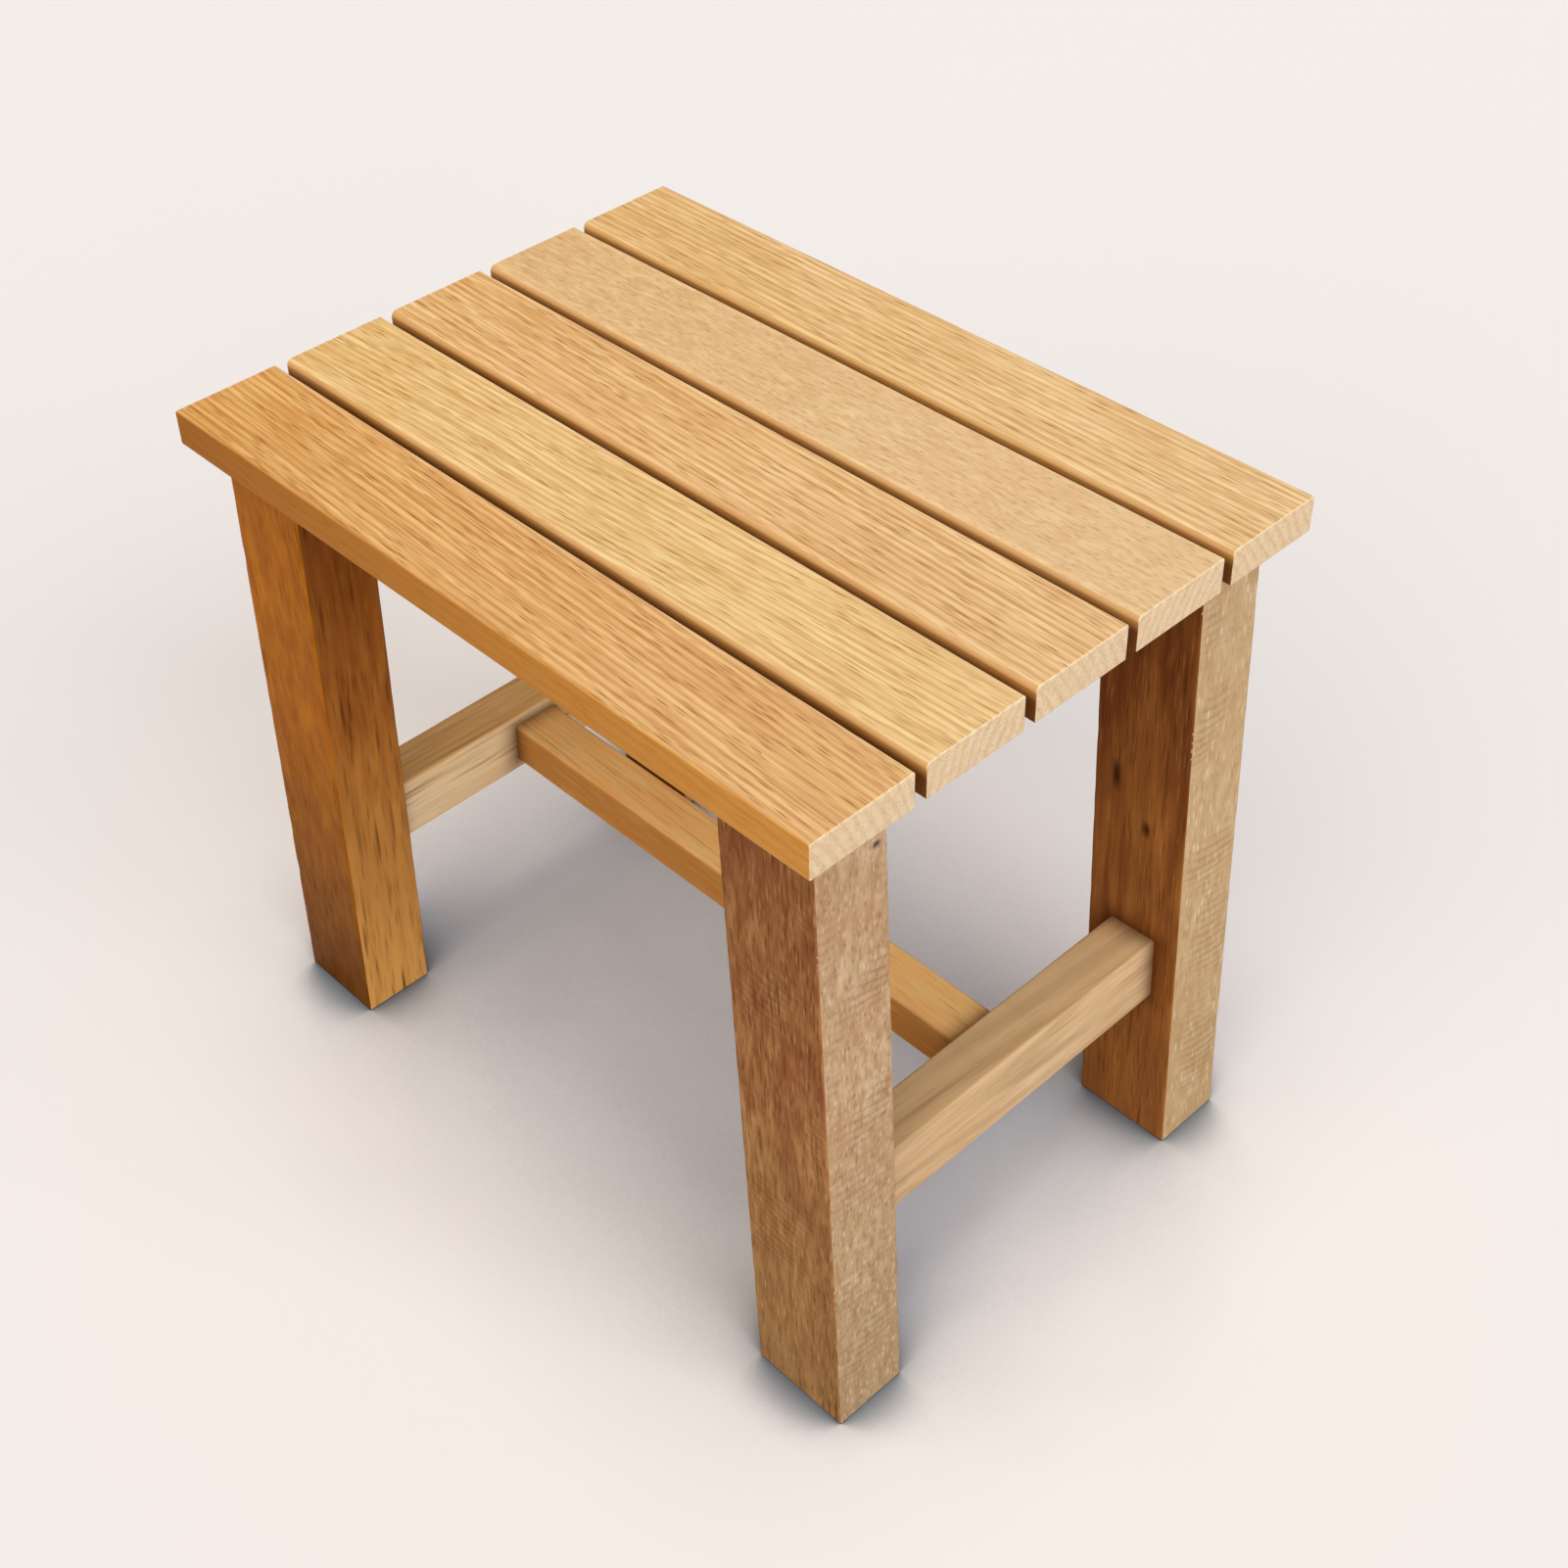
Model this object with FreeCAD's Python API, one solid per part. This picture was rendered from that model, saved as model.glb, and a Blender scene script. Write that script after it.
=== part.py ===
import FreeCAD, Part
import math
import os

from FreeCAD import Placement, Rotation, Vector

# Slatted wooden shower bench, in millimetres.
# Five seat slats lie on two end frames, and a middle stretcher joins the frames low down.
# An end frame is two legs, a bearer under the slats and a low stretcher, tenoned together flat.
# Each frame leans a little, so that its feet stand out past the tops of its legs.
# The origin is on the floor under the middle of the seat: +X along the slats, +Y to the rear, +Z up.

# Seat slats
SLAT_COUNT = 5
SLAT_LENGTH = 400.0
SLAT_WIDTH = 54.0
SLAT_THICK = 17.5
SLAT_GAP = 6.0
SEAT_HEIGHT = 362.0
SLAT_FRONT_ROUND = 3.0
SEAT_FRONT_ROUND = 1.0
SLAT_EDGE_ROUND = 0.8
SLAT_END_ROUND = 0.5

# Legs, with the overhangs measured at the tops of the legs
LEG_WIDTH = 52.0
LEG_DEPTH = 39.0
LEG_EDGE_ROUND = 1.2
END_OVERHANG = 13.0
SIDE_OVERHANG = 14.0
LEG_SPLAY = 14.0

# End stretchers, centred on the width of the legs
END_STRETCHER_THICK = 26.0
END_STRETCHER_HEIGHT = 36.0
END_STRETCHER_TOP = 127.5
STRETCHER_EDGE_ROUND = 1.6

# Middle stretcher, halfway along the end stretchers
MIDDLE_WIDTH = 26.0
MIDDLE_HEIGHT = 24.0
MIDDLE_DROP = 6.0

# Seat bearers, flush with the tops of the legs
BEARER_THICK = 24.0
BEARER_HEIGHT = 28.0
BEARER_EDGE_ROUND = 1.0

# Tenons: the wood left round each one, and the room round it in its mortise
TENON_CHEEK = 7.0
TENON_SHOULDER = 5.0
BEARER_TENON_DROP = 9.0
LEG_WALL = 17.0
MIDDLE_CHEEK = 5.0
MIDDLE_SHOULDER = 4.0
MIDDLE_WALL = 10.0
JOINT_CLEARANCE = 0.1
GLUE_ROOM = 0.6

# Dowels from the leg tops into the front and rear slats
DOWEL_DIAMETER = 8.0
DOWEL_IN_LEG = 20.0
DOWEL_COVER = 6.5
DOWEL_SPACING = 26.0
DOWEL_INSET = 8.5
DOWEL_CHAMFER = 0.8

# Screws from below, through the bearers into the inner slats
SCREW_DIAMETER = 4.0
SCREW_HEAD_DIAMETER = 8.0
SCREW_HEAD_HEIGHT = 2.4
SCREW_TIP = 4.0
SCREW_SINK = 5.0
SCREW_COVER = 5.5
SCREW_SPACING = 28.0
SCREW_HOLE_CLEARANCE = 0.25
COUNTERBORE_CLEARANCE = 0.5

# Places that follow from the sizes above
UNDERSIDE = SEAT_HEIGHT - SLAT_THICK
SLAT_PITCH = SLAT_WIDTH + SLAT_GAP
SEAT_DEPTH = SLAT_COUNT * SLAT_PITCH - SLAT_GAP
LEG_TOP_X = SLAT_LENGTH / 2 - END_OVERHANG - LEG_WIDTH / 2
LEG_OUTER_Y = SEAT_DEPTH / 2 - SIDE_OVERHANG
LEG_INNER_Y = LEG_OUTER_Y - LEG_DEPTH
SPLAY = math.atan2(LEG_SPLAY, UNDERSIDE)
MIDDLE_TOP = END_STRETCHER_TOP - MIDDLE_DROP
MIDDLE_LEVEL = MIDDLE_TOP - MIDDLE_HEIGHT / 2

# Points closer than this are taken as one
SAME_PLACE = 0.01

ALONG_X = Vector(1, 0, 0)
ALONG_Y = Vector(0, 1, 0)
ALONG_Z = Vector(0, 0, 1)
SIDES = {"left": -1, "right": 1}
ROWS = {"front": -1, "rear": 1}


def block(corner, opposite):
    """A box between two opposite corners, given in any order."""
    low = [min(pair) for pair in zip(corner, opposite)]
    high = [max(pair) for pair in zip(corner, opposite)]
    length, depth, height = (b - a for a, b in zip(low, high))
    return Part.makeBox(length, depth, height, Vector(*low))


def edges_along(shape, axis):
    """The straight edges of a shape that run along an axis."""
    picked = []
    for edge in shape.Edges:
        run = edge.Vertexes[-1].Point - edge.Vertexes[0].Point
        if abs(run.dot(axis)) > 0.999 * edge.Length:
            picked.append(edge)
    return picked


def is_at(edge, place):
    """Whether the middle of an edge lies at a place."""
    return edge.CenterOfMass.isEqual(place, SAME_PLACE)


def eased(shape, axis, radius):
    """A shape with its edges along an axis rounded."""
    return shape.makeFillet(radius, edges_along(shape, axis))


def one_solid(shape):
    """The single clean solid that a cut or a join has left."""
    return shape.removeSplitter().Solids[0]


def along_leg(height):
    """A height above the floor, as a distance along a leg from its top."""
    return (height - UNDERSIDE) / math.cos(SPLAY)


def leaned(shape, side):
    """An upright end-frame piece, drawn about the leg tops, tipped so that its foot stands out."""
    tip = Rotation(ALONG_Y, -side * math.degrees(SPLAY))
    placed = shape.copy()
    placed.Placement = Placement(Vector(side * LEG_TOP_X, 0, UNDERSIDE), tip).multiply(placed.Placement)
    return placed


def between_floor_and_slats(shape):
    """A leaned piece, sawn level at the floor and at the underside of the slats."""
    reach = SLAT_LENGTH + SEAT_DEPTH
    return one_solid(shape.common(block((-reach, -reach, 0), (reach, reach, UNDERSIDE))))


def slat_y(number):
    """The middle of a slat, counted from 1 at the front."""
    return (number - 1) * SLAT_PITCH - (SEAT_DEPTH - SLAT_WIDTH) / 2


def rail_tenon(row, thick, bottom, top, clearance=0.0, room=0.0):
    """An end-frame rail's tenon in a leg, or with a clearance the mortise that takes it."""
    half = thick / 2 - TENON_CHEEK + clearance
    start = LEG_INNER_Y - TENON_SHOULDER
    end = LEG_OUTER_Y - LEG_WALL + room
    return block((-half, row * start, bottom - clearance), (half, row * end, top + clearance))


def stretcher_tenon(row, clearance=0.0, room=0.0):
    top = along_leg(END_STRETCHER_TOP) - TENON_SHOULDER
    bottom = along_leg(END_STRETCHER_TOP) - END_STRETCHER_HEIGHT + TENON_SHOULDER
    return rail_tenon(row, END_STRETCHER_THICK, bottom, top, clearance, room)


def bearer_tenon(row, clearance=0.0, room=0.0):
    bottom = TENON_SHOULDER - BEARER_HEIGHT
    return rail_tenon(row, BEARER_THICK, bottom, -BEARER_TENON_DROP, clearance, room)


def stretcher_face_x(height):
    """How far from the middle an end stretcher's inner face stands, at a height above the floor."""
    leg_centre = LEG_TOP_X + (UNDERSIDE - height) * math.tan(SPLAY)
    return leg_centre - END_STRETCHER_THICK / 2 / math.cos(SPLAY)


def middle_tenon(side, clearance=0.0, room=0.0):
    """The middle stretcher's tenon in an end stretcher, or with a clearance its mortise."""
    face = stretcher_face_x(MIDDLE_LEVEL)
    end = face + END_STRETCHER_THICK - MIDDLE_WALL + room
    half_width = MIDDLE_WIDTH / 2 - MIDDLE_CHEEK + clearance
    half_height = MIDDLE_HEIGHT / 2 - MIDDLE_SHOULDER + clearance
    near = (side * (face - MIDDLE_SHOULDER), -half_width, MIDDLE_LEVEL - half_height)
    far = (side * end, half_width, MIDDLE_LEVEL + half_height)
    return block(near, far)


def dowel_places():
    """Where the dowels stand: side, row and the two places across each leg's top."""
    for side in SIDES.values():
        for row in ROWS.values():
            for step in (-0.5, 0.5):
                x = side * LEG_TOP_X + step * DOWEL_SPACING
                yield Vector(x, row * (LEG_OUTER_Y - DOWEL_INSET), UNDERSIDE)


def dowel(place):
    length = DOWEL_IN_LEG + SLAT_THICK - DOWEL_COVER
    pin = Part.makeCylinder(DOWEL_DIAMETER / 2, length, place - ALONG_Z * DOWEL_IN_LEG)
    rims = [edge for edge in pin.Edges if edge.Closed]
    return pin.makeChamfer(DOWEL_CHAMFER, rims)


def dowel_hole(place):
    depth = DOWEL_IN_LEG + GLUE_ROOM
    length = depth + SLAT_THICK - DOWEL_COVER + GLUE_ROOM
    return Part.makeCylinder(DOWEL_DIAMETER / 2 + JOINT_CLEARANCE, length, place - ALONG_Z * depth)


def screw_places():
    """Where the screws' head faces lie, on the line up the middle of each bearer."""
    half_height = BEARER_HEIGHT / 2
    x = LEG_TOP_X + half_height * math.sin(SPLAY)
    z = UNDERSIDE - BEARER_HEIGHT * math.cos(SPLAY) + SCREW_SINK
    for side in SIDES.values():
        for number in range(2, SLAT_COUNT):
            for step in (-0.5, 0.5):
                yield Vector(side * x, slat_y(number) + step * SCREW_SPACING, z)


def screw(place):
    """A countersunk wood screw that points up, with its head face at the given place."""
    radius = SCREW_DIAMETER / 2
    end = SEAT_HEIGHT - SCREW_COVER
    head = Part.makeCone(SCREW_HEAD_DIAMETER / 2, radius, SCREW_HEAD_HEIGHT, place)
    neck = place + ALONG_Z * SCREW_HEAD_HEIGHT
    shank_length = end - SCREW_TIP - neck.z
    shank = Part.makeCylinder(radius, shank_length, neck)
    tip = Part.makeCone(radius, 0, SCREW_TIP, neck + ALONG_Z * shank_length)
    return one_solid(head.fuse([shank, tip]))


def bearer_screw_hole(place):
    """The counterbore, the seat of the head and the clearance hole for one screw."""
    head_radius = SCREW_HEAD_DIAMETER / 2
    bore_radius = SCREW_DIAMETER / 2 + SCREW_HOLE_CLEARANCE
    below = place - ALONG_Z * BEARER_HEIGHT
    bore = Part.makeCylinder(head_radius + COUNTERBORE_CLEARANCE, BEARER_HEIGHT, below)
    seat = Part.makeCone(head_radius + JOINT_CLEARANCE, bore_radius, SCREW_HEAD_HEIGHT, place)
    through = Part.makeCylinder(bore_radius, BEARER_HEIGHT, place)
    return bore.fuse([seat, through])


def slat_pilot_hole(place):
    radius = SCREW_DIAMETER / 2 + JOINT_CLEARANCE
    depth = SLAT_THICK - SCREW_COVER + GLUE_ROOM
    return Part.makeCylinder(radius, depth, Vector(place.x, place.y, UNDERSIDE))


def seat_slat(number):
    """One slat: rounded at its front top edge, the foremost one less, square-sawn and drilled from below."""
    y = slat_y(number)
    half_length = SLAT_LENGTH / 2
    half_width = SLAT_WIDTH / 2
    slat = block((-half_length, y - half_width, UNDERSIDE), (half_length, y + half_width, SEAT_HEIGHT))
    front_top = Vector(0, y - half_width, SEAT_HEIGHT)
    others = [edge for edge in edges_along(slat, ALONG_X) if not is_at(edge, front_top)]
    slat = slat.makeFillet(SLAT_EDGE_ROUND, others)
    front = [edge for edge in edges_along(slat, ALONG_X) if is_at(edge, front_top)]
    front_round = SEAT_FRONT_ROUND if number == 1 else SLAT_FRONT_ROUND
    slat = slat.makeFillet(front_round, front)
    ends = [face for face in slat.Faces if abs(face.normalAt(0, 0).x) > 0.999]
    slat = slat.makeFillet(SLAT_END_ROUND, [edge for face in ends for edge in face.Edges])
    holes = [dowel_hole(place) for place in dowel_places()]
    holes += [slat_pilot_hole(place) for place in screw_places()]
    return one_solid(slat.cut(holes))


def leg(side, row):
    """One leg: a straight post, mortised on its inner face and drilled in its top."""
    spare = LEG_WIDTH
    foot = along_leg(0) - spare
    post = block((-LEG_WIDTH / 2, row * LEG_INNER_Y, foot), (LEG_WIDTH / 2, row * LEG_OUTER_Y, spare))
    post = eased(post, ALONG_Z, LEG_EDGE_ROUND)
    low_mortise = stretcher_tenon(row, JOINT_CLEARANCE, GLUE_ROOM)
    high_mortise = bearer_tenon(row, JOINT_CLEARANCE, GLUE_ROOM)
    post = between_floor_and_slats(leaned(post.cut([low_mortise, high_mortise]), side))
    return one_solid(post.cut([dowel_hole(place) for place in dowel_places()]))


def end_stretcher(side):
    """The low rail between the legs of one end, mortised for the middle stretcher."""
    top = along_leg(END_STRETCHER_TOP)
    half = END_STRETCHER_THICK / 2
    rail = block((-half, -LEG_INNER_Y, top - END_STRETCHER_HEIGHT), (half, LEG_INNER_Y, top))
    rail = eased(rail, ALONG_Y, STRETCHER_EDGE_ROUND)
    rail = one_solid(rail.fuse([stretcher_tenon(row) for row in ROWS.values()]))
    return one_solid(leaned(rail, side).cut(middle_tenon(side, JOINT_CLEARANCE, GLUE_ROOM)))


def seat_bearer(side):
    """The rail under the slats between the legs of one end, drilled for the screws."""
    half = BEARER_THICK / 2
    rail = block((-half, -LEG_INNER_Y, -BEARER_HEIGHT), (half, LEG_INNER_Y, BEARER_THICK))
    rail = eased(rail, ALONG_Y, BEARER_EDGE_ROUND)
    rail = one_solid(rail.fuse([bearer_tenon(row) for row in ROWS.values()]))
    rail = between_floor_and_slats(leaned(rail, side))
    return one_solid(rail.cut([bearer_screw_hole(place) for place in screw_places()]))


def middle_stretcher():
    """The rail between the end stretchers, with its shoulders sawn to their lean."""
    reach = SLAT_LENGTH / 2
    half_width = MIDDLE_WIDTH / 2
    rail = block((-reach, -half_width, MIDDLE_TOP - MIDDLE_HEIGHT), (reach, half_width, MIDDLE_TOP))
    rail = eased(rail, ALONG_X, STRETCHER_EDGE_ROUND)
    face = END_STRETCHER_THICK / 2
    for side in SIDES.values():
        past_face = block((-side * face, -SEAT_DEPTH, -SEAT_HEIGHT), (side * reach, SEAT_DEPTH, SEAT_HEIGHT))
        rail = rail.cut(leaned(past_face, side))
    return one_solid(rail.fuse([middle_tenon(side) for side in SIDES.values()]))


def bench():
    """Every piece of the bench, by name."""
    pieces = {}
    for number in range(1, SLAT_COUNT + 1):
        pieces[f"seat_slat_{number}"] = seat_slat(number)
    for row_name, row in ROWS.items():
        for side_name, side in SIDES.items():
            pieces[f"leg_{row_name}_{side_name}"] = leg(side, row)
    for side_name, side in SIDES.items():
        pieces[f"end_stretcher_{side_name}"] = end_stretcher(side)
        pieces[f"seat_bearer_{side_name}"] = seat_bearer(side)
    pieces["middle_stretcher"] = middle_stretcher()
    pieces["slat_screws"] = Part.makeCompound([screw(place) for place in screw_places()])
    pieces["leg_top_dowels"] = Part.makeCompound([dowel(place) for place in dowel_places()])
    return pieces


os.makedirs("parts", exist_ok=True)
for name, piece in bench().items():
    piece.exportStep(f"parts/{name}.step")
    print(f"{name}: {len(piece.Solids)} solids, valid {piece.isValid()}, {piece.Volume / 1000:.1f} cm3")
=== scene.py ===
# %% [markdown]
# # A slatted wooden shower bench
# The bench is five teak slats on two leaning end frames, with a low H of stretchers between the legs.
# Its construction already exists as CAD solids at their real size. This lesson dresses them: it models the
# timbers with eased and worn edges, gives each board its own grain, and lights the result.
# The CAD model is loaded first, because every piece takes its place from it.

# %% Load the CAD frame
import math

import bmesh
import bpy
from mathutils import Euler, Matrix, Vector, noise


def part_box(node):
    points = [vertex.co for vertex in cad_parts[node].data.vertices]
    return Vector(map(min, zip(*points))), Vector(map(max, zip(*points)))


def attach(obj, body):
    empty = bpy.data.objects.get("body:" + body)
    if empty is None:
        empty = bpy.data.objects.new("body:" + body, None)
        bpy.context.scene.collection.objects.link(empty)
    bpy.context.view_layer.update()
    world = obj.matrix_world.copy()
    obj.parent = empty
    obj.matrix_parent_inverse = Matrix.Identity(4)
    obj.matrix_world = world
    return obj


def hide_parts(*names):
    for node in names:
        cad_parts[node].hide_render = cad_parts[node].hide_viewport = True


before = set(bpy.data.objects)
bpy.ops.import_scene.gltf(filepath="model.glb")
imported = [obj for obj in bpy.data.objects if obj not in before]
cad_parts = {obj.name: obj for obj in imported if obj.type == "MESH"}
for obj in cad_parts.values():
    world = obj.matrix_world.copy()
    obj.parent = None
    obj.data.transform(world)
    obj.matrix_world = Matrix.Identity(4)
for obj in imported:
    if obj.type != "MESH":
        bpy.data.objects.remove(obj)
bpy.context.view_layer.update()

MM = 0.001

# %% [markdown]
# ## Camera
# The photograph looks down on the bench from its front right corner. The place, turn and focal length below
# come from matching the seat's corners and the feet, so that the render can be laid over the photograph.
# The optical axis isn't in the middle of the frame, so the lens is shifted a little, as on a view camera.

# %% Set the camera
IMAGE_PX = 1601
FOCAL_PX = 2384.4
OPTICAL_AXIS_PX = (732.8, 660.0)
CAMERA_PLACE_MM = (620.7, -559.7, 918.7)
CAMERA_TURN_DEG = (51.55, 1.94, 46.79)

camera_data = bpy.data.cameras.new("camera")
camera = bpy.data.objects.new("camera", camera_data)
bpy.context.scene.collection.objects.link(camera)
bpy.context.scene.camera = camera
camera.location = Vector(CAMERA_PLACE_MM) * MM
camera.rotation_euler = [math.radians(angle) for angle in CAMERA_TURN_DEG]
camera_data.lens = FOCAL_PX / IMAGE_PX * camera_data.sensor_width
camera_data.shift_x = (IMAGE_PX / 2 - OPTICAL_AXIS_PX[0]) / IMAGE_PX
camera_data.shift_y = (OPTICAL_AXIS_PX[1] - IMAGE_PX / 2) / IMAGE_PX
print(f"lens {camera_data.lens:.2f} mm, shift {camera_data.shift_x:.4f}, {camera_data.shift_y:.4f}")

# %% [markdown]
# ## Colours and nodes
# Colours are picked in sRGB, as on a screen, while shader sockets take linear light, so one function converts
# them. A second function adds a shader node and fills its sockets, which keeps each material short to read.

# %% Two helpers for materials
# Sockets of a Mix node that mixes colours: the share of the upper one, both colours, and the result
SHARE, LOWER, UPPER, MIXED = 0, 6, 7, 2


def linear(hex_colour):
    """An sRGB hex colour as linear RGBA."""
    shares = [int(hex_colour[i:i + 2], 16) / 255 for i in (1, 3, 5)]
    return tuple(c / 12.92 if c <= 0.04045 else ((c + 0.055) / 1.055) ** 2.4 for c in shares) + (1.0,)


def add(tree, kind, sockets=None, **settings):
    """A new shader node with its settings. Its sockets are set to a value or linked from another socket."""
    node = tree.nodes.new("ShaderNode" + kind)
    for name, value in settings.items():
        setattr(node, name, value)
    for socket, value in (sockets or {}).items():
        if isinstance(value, bpy.types.NodeSocket):
            tree.links.new(value, node.inputs[socket])
        else:
            node.inputs[socket].default_value = value
    return node


print("mid grey in linear light:", linear("#808080")[0])

# %% [markdown]
# ## Floor and light
# A studio photograph of furniture has a pale floor, soft light all round and a few large lamps: one overhead,
# one low at the right and one high at the front. Here the sky lights everything softly, and very wide suns
# stand in for the lamps, because a sun is as strong on the far side of the floor as on the near side.
# Together they light a level surface at a little over 1, so that a colour renders about as it is written.
# The sky is a little cool and two of the lamps a little warm, which leaves a grey shadow on a warm floor. The
# camera sees a plain pale backdrop in place of the sky.

# %% Light the studio
SKY_LEVEL = 0.26
SKY_SEEN = 0.95
SKY_COLOUR = "#dbe8ff"
BACKDROP_SEEN = "#f7f5f3"
LAMPS = {
    "lamp_overhead": {"from": (0.0, 0.0, 1.0), "level": 0.30, "spread_deg": 30.0, "colour": "#fff1e0"},
    "lamp_right": {"from": (1.0, -0.10, 0.40), "level": 0.27, "spread_deg": 70.0, "colour": "#f2f7ff"},
    "lamp_front": {"from": (0.25, -1.0, 0.95), "level": 0.28, "spread_deg": 50.0, "colour": "#fff1e0"},
}

scene = bpy.context.scene
scene.view_settings.view_transform = "Standard"


def seen_share(tree):
    """1 for what the camera sees, also in a shiny or clear surface, and 0 for what lights the bench."""
    rays = add(tree, "LightPath").outputs
    seen = add(tree, "Math", {
        0: rays["Is Camera Ray"], 1: rays["Is Glossy Ray"],
    }, operation="ADD").outputs[0]
    return add(tree, "Math", {
        0: seen, 1: rays["Is Transmission Ray"],
    }, operation="ADD", use_clamp=True).outputs[0]


world = bpy.data.worlds.new("studio_sky")
scene.world = world
world.use_nodes = True
tree = world.node_tree
sky = tree.nodes["Background"]
seen = seen_share(tree)
sky_colour = add(tree, "Mix", {
    SHARE: seen, LOWER: linear(SKY_COLOUR), UPPER: linear(BACKDROP_SEEN),
}, data_type="RGBA").outputs[MIXED]
tree.links.new(sky_colour, sky.inputs["Color"])
sky_level = add(tree, "MapRange", {"Value": seen, "To Min": SKY_LEVEL, "To Max": SKY_SEEN})
tree.links.new(sky_level.outputs[0], sky.inputs["Strength"])

for name, made in LAMPS.items():
    toward = Vector(made["from"]).normalized()
    lamp_data = bpy.data.lights.new(name, "SUN")
    lamp_data.angle = math.radians(made["spread_deg"])
    lamp_data.energy = made["level"] * math.pi / toward.z
    lamp_data.color = linear(made["colour"])[:3]
    lamp = bpy.data.objects.new(name, lamp_data)
    scene.collection.objects.link(lamp)
    lamp.rotation_euler = toward.to_track_quat("Z", "Y").to_euler()
    print(f"{name}: {lamp_data.energy:.2f} W/m2")

# %% [markdown]
# The floor is a wide sheet of studio paper. The camera sees it pale, while the light that it throws back on
# the bench is dimmer and warmer, as from a wooden floor, which keeps the shaded sides of the legs deep.
# Two shades are laid on it: a dark one close round the feet and a soft grey one under the seat. Such wide
# suns leave both too weak, and smaller lamps would throw hard shadows, so the floor's openness draws them.

# %% Lay the floor
PAPER_SEEN = "#f3f0ed"
PAPER_BOUNCE = "#b79b7b"
SHADES = {
    "at_the_feet": {"reach": 30 * MM, "covered": 0.30, "clear": 1.0, "least": 0.0, "colour": "#44474c"},
    "under_the_seat": {
        "reach": 400 * MM, "covered": 0.58, "clear": 0.72, "least": 0.62, "colour": "#4a6f86",
    },
}
FLOOR_HALF_M = 8.0

bm = bmesh.new()
bmesh.ops.create_grid(bm, x_segments=1, y_segments=1, size=FLOOR_HALF_M)
floor_mesh = bpy.data.meshes.new("floor")
bm.to_mesh(floor_mesh)
bm.free()
floor = bpy.data.objects.new("floor", floor_mesh)
scene.collection.objects.link(floor)

# Matt uncoated paper: an even pale ground with no shine of its own
paper = bpy.data.materials.new("pale_studio_paper")
paper.use_nodes = True
tree = paper.node_tree
paper_shader = tree.nodes["Principled BSDF"]
paper_seen = linear(PAPER_SEEN)
for shade in SHADES.values():
    open_share = add(tree, "AmbientOcclusion", {"Distance": shade["reach"]}).outputs["AO"]
    open_share = add(tree, "MapRange", {
        "Value": open_share, "From Min": shade["covered"], "From Max": shade["clear"],
        "To Min": shade["least"],
    }, interpolation_type="SMOOTHSTEP").outputs[0]
    paper_seen = add(tree, "Mix", {
        SHARE: open_share, LOWER: linear(shade["colour"]), UPPER: paper_seen,
    }, data_type="RGBA").outputs[MIXED]
paper_colour = add(tree, "Mix", {
    SHARE: seen_share(tree), LOWER: linear(PAPER_BOUNCE), UPPER: paper_seen,
}, data_type="RGBA").outputs[MIXED]
tree.links.new(paper_colour, paper_shader.inputs["Base Color"])
paper_shader.inputs["Roughness"].default_value = 0.9
paper_shader.inputs["Specular IOR Level"].default_value = 0.1
floor_mesh.materials.append(paper)
print("floor", 2 * FLOOR_HALF_M, "m wide")

# %% [markdown]
# ## Teak
# Teak is a golden brown hardwood. Its growth rings run the length of a board, and its pores are cut open as
# short dark dashes along the grain. On a sawn end the rings show as slanted lines and the pores as dots.
# A picture wrapped round the board can't do that, so the grain is a solid pattern that fills the board: rings
# round a pith line beside it, clouds of colour drawn out along the grain, and dashes. A stretched noise would
# run its streaks together like hair, so the dashes come from Voronoi cells, each with one dash of its own.
# Real pores are about 0.3 mm wide. They are drawn over 1 mm wide, because finer ones don't show.

# %% Grain that fills a board
# A wave texture turns by 20 radians over a length of 1, so at this scale it has one ring there
RING_WAVE = 2 * math.pi / 20
# The turn that brings a board's grain along X, and the axis that the grain's slant is turned about
GRAIN_TURN = {"X": (0, 0, 0), "Y": (0, 0, -90), "Z": (0, 90, 0)}
SLANT_AXIS = {"X": 2, "Y": 2, "Z": 1}
SWAY_LONG_MM, SWAY_WIDE_MM = 240, 60
CLOUD_SOFTNESS = 0.16
SWAY_STEP = 3.7
# How far from its cell's point a dash ends and is full, and the random values that make it missing or full
DASH_REACH = 0.45
DASH_CORE = 0.10
DASH_MISSING, DASH_FULL = 0.2, 0.8


def fibre_lines(tree, look, grain, centre):
    """Coordinates in mm from the board's centre, turned so that the grain runs along X, and a bit wavy."""
    turn = [math.radians(angle) for angle in GRAIN_TURN[grain]]
    turn[SLANT_AXIS[grain]] += math.radians(look["slant_deg"])
    place = -(Euler(turn).to_matrix() @ (centre / MM))
    coords = add(tree, "TexCoord").outputs["Object"]
    board = add(tree, "Mapping", {
        "Vector": coords, "Location": place, "Rotation": turn, "Scale": (1 / MM, 1 / MM, 1 / MM),
    }).outputs[0]
    cell = add(tree, "Mapping", {
        "Vector": board, "Location": (look["seed"] * SWAY_STEP,) * 3,
        "Scale": (1 / SWAY_LONG_MM, 1 / SWAY_WIDE_MM, 1 / SWAY_WIDE_MM),
    }).outputs[0]
    cloud = add(tree, "TexNoise", {"Vector": cell, "Scale": 1.0, "Detail": 1.0}).outputs["Color"]
    sway = add(tree, "VectorMath", {0: cloud, 1: (0.5, 0.5, 0.5)}, operation="SUBTRACT").outputs[0]
    sway_mm = (0, look["sway_mm"], look["sway_mm"])
    sway = add(tree, "VectorMath", {0: sway, 1: sway_mm}, operation="MULTIPLY").outputs[0]
    return add(tree, "VectorMath", {0: board, 1: sway}, operation="ADD").outputs[0]


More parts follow.
